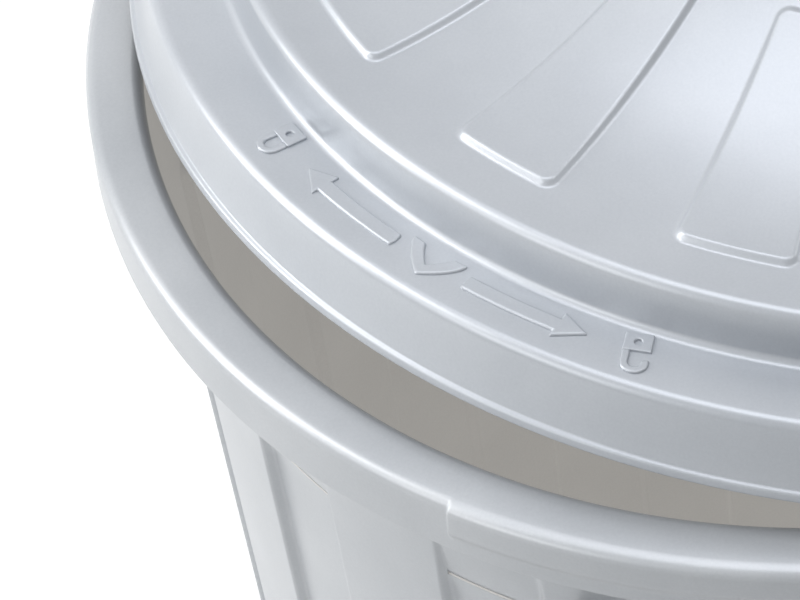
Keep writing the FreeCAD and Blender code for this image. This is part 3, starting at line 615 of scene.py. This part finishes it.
def black_nylon():
    """Moulded nylon pins: near black, dull, with a faint grain of 0.5 mm."""
    material, tree = new_material("moulded_black_nylon")
    place = add(tree, "ShaderNodeTexCoord").outputs["Object"]
    grain = add(tree, "ShaderNodeTexNoise", {"Scale": 1 / 0.0005, "Detail": 2.0}, {"Vector": place})
    ramp = add(tree, "ShaderNodeValToRGB", links={"Fac": grain.outputs["Fac"]})
    ramp.color_ramp.elements[0].color = linear("#1B1C1E")
    ramp.color_ramp.elements[1].color = linear("#2A2B2E")
    bump = add(tree, "ShaderNodeBump", {"Strength": 0.3, "Distance": 0.03 * MM},
               {"Height": grain.outputs["Fac"]})
    shader = add(tree, "ShaderNodeBsdfPrincipled", {"Roughness": 0.5, "IOR": 1.53},
                 {"Base Color": ramp.outputs["Color"], "Normal": bump.outputs["Normal"]})
    add(tree, "ShaderNodeOutputMaterial", links={"Surface": shader.outputs["BSDF"]})
    return material


def zinc_plate():
    """Zinc-plated steel screws: bluish bright metal with a patchy plating, patches of 1.5 mm."""
    material, tree = new_material("zinc_plated_steel")
    place = add(tree, "ShaderNodeTexCoord").outputs["Object"]
    patches = add(tree, "ShaderNodeTexNoise", {"Scale": 1 / 0.0015, "Detail": 3.0},
                  {"Vector": place})
    ramp = add(tree, "ShaderNodeValToRGB", links={"Fac": patches.outputs["Fac"]})
    ramp.color_ramp.elements[0].color = linear("#A9ADB0")
    ramp.color_ramp.elements[1].color = linear("#C9CCCB")
    dull = add(tree, "ShaderNodeMapRange", {"To Min": 0.25, "To Max": 0.42},
               {"Value": patches.outputs["Fac"]})
    shader = add(tree, "ShaderNodeBsdfPrincipled", {"Metallic": 1.0},
                 {"Base Color": ramp.outputs["Color"], "Roughness": dull.outputs["Result"]})
    add(tree, "ShaderNodeOutputMaterial", links={"Surface": shader.outputs["BSDF"]})
    return material


def dress(piece, material):
    piece.data.materials.clear()
    piece.data.materials.append(material)


def dress_inside(piece, material):
    """Second finish, the one with the painted glow, for the faces of the tub that look into its
    hollow.
    """
    piece.data.materials.append(material)
    for face in piece.data.polygons:
        middle, normal = face.center, face.normal
        on_floor = middle.z < 0.02 and normal.z > 0.5
        inwards = normal.x * middle.x + normal.y * middle.y < 0 or on_floor
        if inwards and math.hypot(middle.x, middle.y) < (wall_at(CAN_HEIGHT) - WALL + 0.1) * MM \
                and 0.0085 < middle.z < (CAN_HEIGHT - MOUTH_ROUND) * MM:
            face.material_index = 1


def dress_node(name, material):
    """Gives a CAD node its finish without touching its mesh."""
    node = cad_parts[name]
    if not node.material_slots:
        node.data.materials.append(material)
    for slot in node.material_slots:
        slot.material = material


# ---------------------------------------------------------------- build
# Colours are light, then dark; then roughness and depth of the grain.
# Smooth satin wall, a little duller than the lid.
TUB_PLASTIC = silver_polypropylene("silver_polypropylene_tub", "#C4C7CA", "#B1B5B9", 0.36, 0.25)
# The smoothest and bluest face, with tight highlights on its moulded edges.
LID_PLASTIC = silver_polypropylene("silver_polypropylene_lid", "#C5C9CE", "#B3B8BE", 0.33, 0.18)
# Grained for the grip, so dull.
HANDLE_PLASTIC = silver_polypropylene(
    "silver_polypropylene_grained", "#BFC3C6", "#A6AAAE", 0.46, 0.6)
# Inside of the tub: warmer and duller, with a faint painted glow that stands in for daylight
# through the wall.
TUB_INSIDE_PAINTED_GLOW = silver_polypropylene(
    "silver_polypropylene_tub_inside_painted_glow", "#BEBDBB", "#A9A8A6", 0.45, 0.2, PAINTED_INSIDE_GLOW_STRENGTH)

# The tub's inward faces get the inside finish with its painted glow.
for piece in make_tub():
    dress(piece, TUB_PLASTIC)
    if piece.name == "tub":
        dress_inside(piece, TUB_INSIDE_PAINTED_GLOW)
for piece in make_lid():
    dress(piece, LID_PLASTIC)
arrow("arrow_mark_left", -1)
arrow("arrow_mark_right", 1)
chevron()
padlocks()
PIN_NYLON, SCREW_ZINC = black_nylon(), zinc_plate()
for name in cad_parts:
    if "pin" in name:
        dress_node(name, PIN_NYLON)
    elif "screw" in name or "washer" in name:
        dress_node(name, SCREW_ZINC)
    elif "handle" in name:
        dress_node(name, HANDLE_PLASTIC)


# ---------------------------------------------------------------- floor, light and camera
def stage_material(name, code, glow, near, far):
    """A matt white floor that glows a little for the eye, and fully far out, so it reads as white.

    Between near and far metres from the middle the glow rises to a strength of 1.
    """
    material, tree = new_material(name)
    place = add(tree, "ShaderNodeTexCoord").outputs["Object"]
    reach = add(tree, "ShaderNodeVectorMath", {"operation": "LENGTH"}, {0: place})
    level = add(tree, "ShaderNodeMapRange",
                {"interpolation_type": "SMOOTHSTEP", "From Min": near, "From Max": far,
                 "To Min": glow, "To Max": 1.0}, {"Value": reach.outputs["Value"]})
    path = add(tree, "ShaderNodeLightPath")
    seen = add(tree, "ShaderNodeMath", {"operation": "MAXIMUM"},
               {0: path.outputs["Is Camera Ray"], 1: path.outputs["Is Glossy Ray"]})
    seen = add(tree, "ShaderNodeMath", {"operation": "MAXIMUM"},
               {0: seen.outputs["Value"], 1: path.outputs["Is Transmission Ray"]})
    strength = add(tree, "ShaderNodeMath", {"operation": "MULTIPLY"},
                   {0: seen.outputs["Value"], 1: level.outputs["Result"]})
    matt = add(tree, "ShaderNodeBsdfDiffuse", {"Color": linear(code)})
    glowing = add(tree, "ShaderNodeEmission", {"Color": linear(code)},
                  {"Strength": strength.outputs["Value"]})
    both = add(tree, "ShaderNodeAddShader",
               links={0: matt.outputs["BSDF"], 1: glowing.outputs["Emission"]})
    add(tree, "ShaderNodeOutputMaterial", links={"Surface": both.outputs["Shader"]})
    return material


def make_floor():
    half = 12.0
    mesh = bpy.data.meshes.new("floor")
    mesh.from_pydata([(-half, -half, 0), (half, -half, 0), (half, half, 0), (-half, half, 0)],
                     [], [(0, 1, 2, 3)])
    floor = bpy.data.objects.new("floor", mesh)
    bpy.context.collection.objects.link(floor)
    dress(floor, stage_material("matt_white_floor", "#F4F4F3", 0.35, 0.9, 2.4))


def make_world():
    """White to the eye and in gloss, and a plain soft fill on everything else."""
    world = bpy.data.worlds.new("studio")
    bpy.context.scene.world = world
    world.use_nodes = True
    tree = world.node_tree
    tree.nodes.clear()
    path = add(tree, "ShaderNodeLightPath")
    seen = add(tree, "ShaderNodeMath", {"operation": "MAXIMUM"},
               {0: path.outputs["Is Camera Ray"], 1: path.outputs["Is Glossy Ray"]})
    seen = add(tree, "ShaderNodeMath", {"operation": "MAXIMUM"},
               {0: seen.outputs["Value"], 1: path.outputs["Is Transmission Ray"]})
    fill = add(tree, "ShaderNodeBackground", {"Color": linear("#F2F5FA"), "Strength": 0.18})
    white = add(tree, "ShaderNodeBackground", {"Color": (1, 1, 1, 1), "Strength": 1.0})
    mix = add(tree, "ShaderNodeMixShader", links={0: seen.outputs["Value"],
              1: fill.outputs["Background"], 2: white.outputs["Background"]})
    add(tree, "ShaderNodeOutputWorld", links={"Surface": mix.outputs["Shader"]})


AIM = (0, 0, 0.6)


def softbox(name, spot, target, width, height, power, code="#FFFFFF"):
    lamp = bpy.data.lights.new(name, "AREA")
    lamp.shape = "RECTANGLE"
    lamp.size, lamp.size_y = width, height
    lamp.energy = power
    lamp.color = linear(code)[:3]
    holder = bpy.data.objects.new(name, lamp)
    bpy.context.collection.objects.link(holder)
    holder.location = spot
    aim = Vector(target) - Vector(spot)
    holder.rotation_euler = aim.to_track_quat("-Z", "Y").to_euler()


# Fitted to the rim, lid and panel curves of the picture: height and distance of the eye, how far
# it is turned, and the small rotation that brings the close-up's frame onto the bin's left front.
EYE_BEARING, EYE_LEVEL, EYE_ABOVE_RIM = 5.5, 1240.9, 1189.7
EYE_DOWN = 43.794
EYE_ROTATION = (3.2229, 4.6466, -0.7944)
FOCAL_PIXELS, PICTURE_WIDTH, SENSOR = 5083.0, 800, 36.0


def make_camera():
    eye = bpy.data.cameras.new("camera")
    holder = bpy.data.objects.new("camera", eye)
    bpy.context.collection.objects.link(holder)
    bpy.context.scene.camera = holder
    eye.sensor_width = SENSOR
    eye.lens = FOCAL_PIXELS * SENSOR / PICTURE_WIDTH
    eye.clip_start, eye.clip_end = 0.05, 30.0
    down = math.radians(EYE_DOWN)
    axes = Matrix(((1, 0, 0), (0, -math.sin(down), -math.cos(down)),
                   (0, math.cos(down), -math.sin(down))))
    turn = Vector([math.radians(angle) for angle in EYE_ROTATION])
    axes = Matrix.Rotation(turn.length, 3, turn.normalized()) @ axes
    round_bin = Matrix.Rotation(math.radians(EYE_BEARING), 3, "Z")
    right, down_axis, forward = (round_bin @ axis for axis in axes)
    pose = Matrix((right, -down_axis, -forward)).transposed().to_4x4()
    spot = bearing_vector(EYE_BEARING) * EYE_LEVEL * MM
    pose.translation = spot + Vector((0, 0, (CAN_HEIGHT + EYE_ABOVE_RIM) * MM))
    holder.matrix_world = pose


make_floor()
make_world()
softbox("left_low", (-2.46, -0.22, 1.40), AIM, 1.2, 1.2, 25.0)
softbox("left_high", (-1.73, -0.15, 2.53), AIM, 1.2, 1.2, 20.0)
softbox("overhead", (0.0, 0.18, 3.19), AIM, 1.6, 1.6, 20.5, "#F6F8FF")
softbox("right_edge", (1.47, 0.26, 2.73), AIM, 0.6, 0.6, 6.0)
softbox("front_left", (-1.51, -1.67, 1.90), AIM, 1.2, 1.2, 9.0)
softbox("back_right_fill", (1.9, 1.7, 1.5), AIM, 1.6, 1.2, 8.0)
make_camera()
bpy.context.scene.view_settings.view_transform = "Standard"
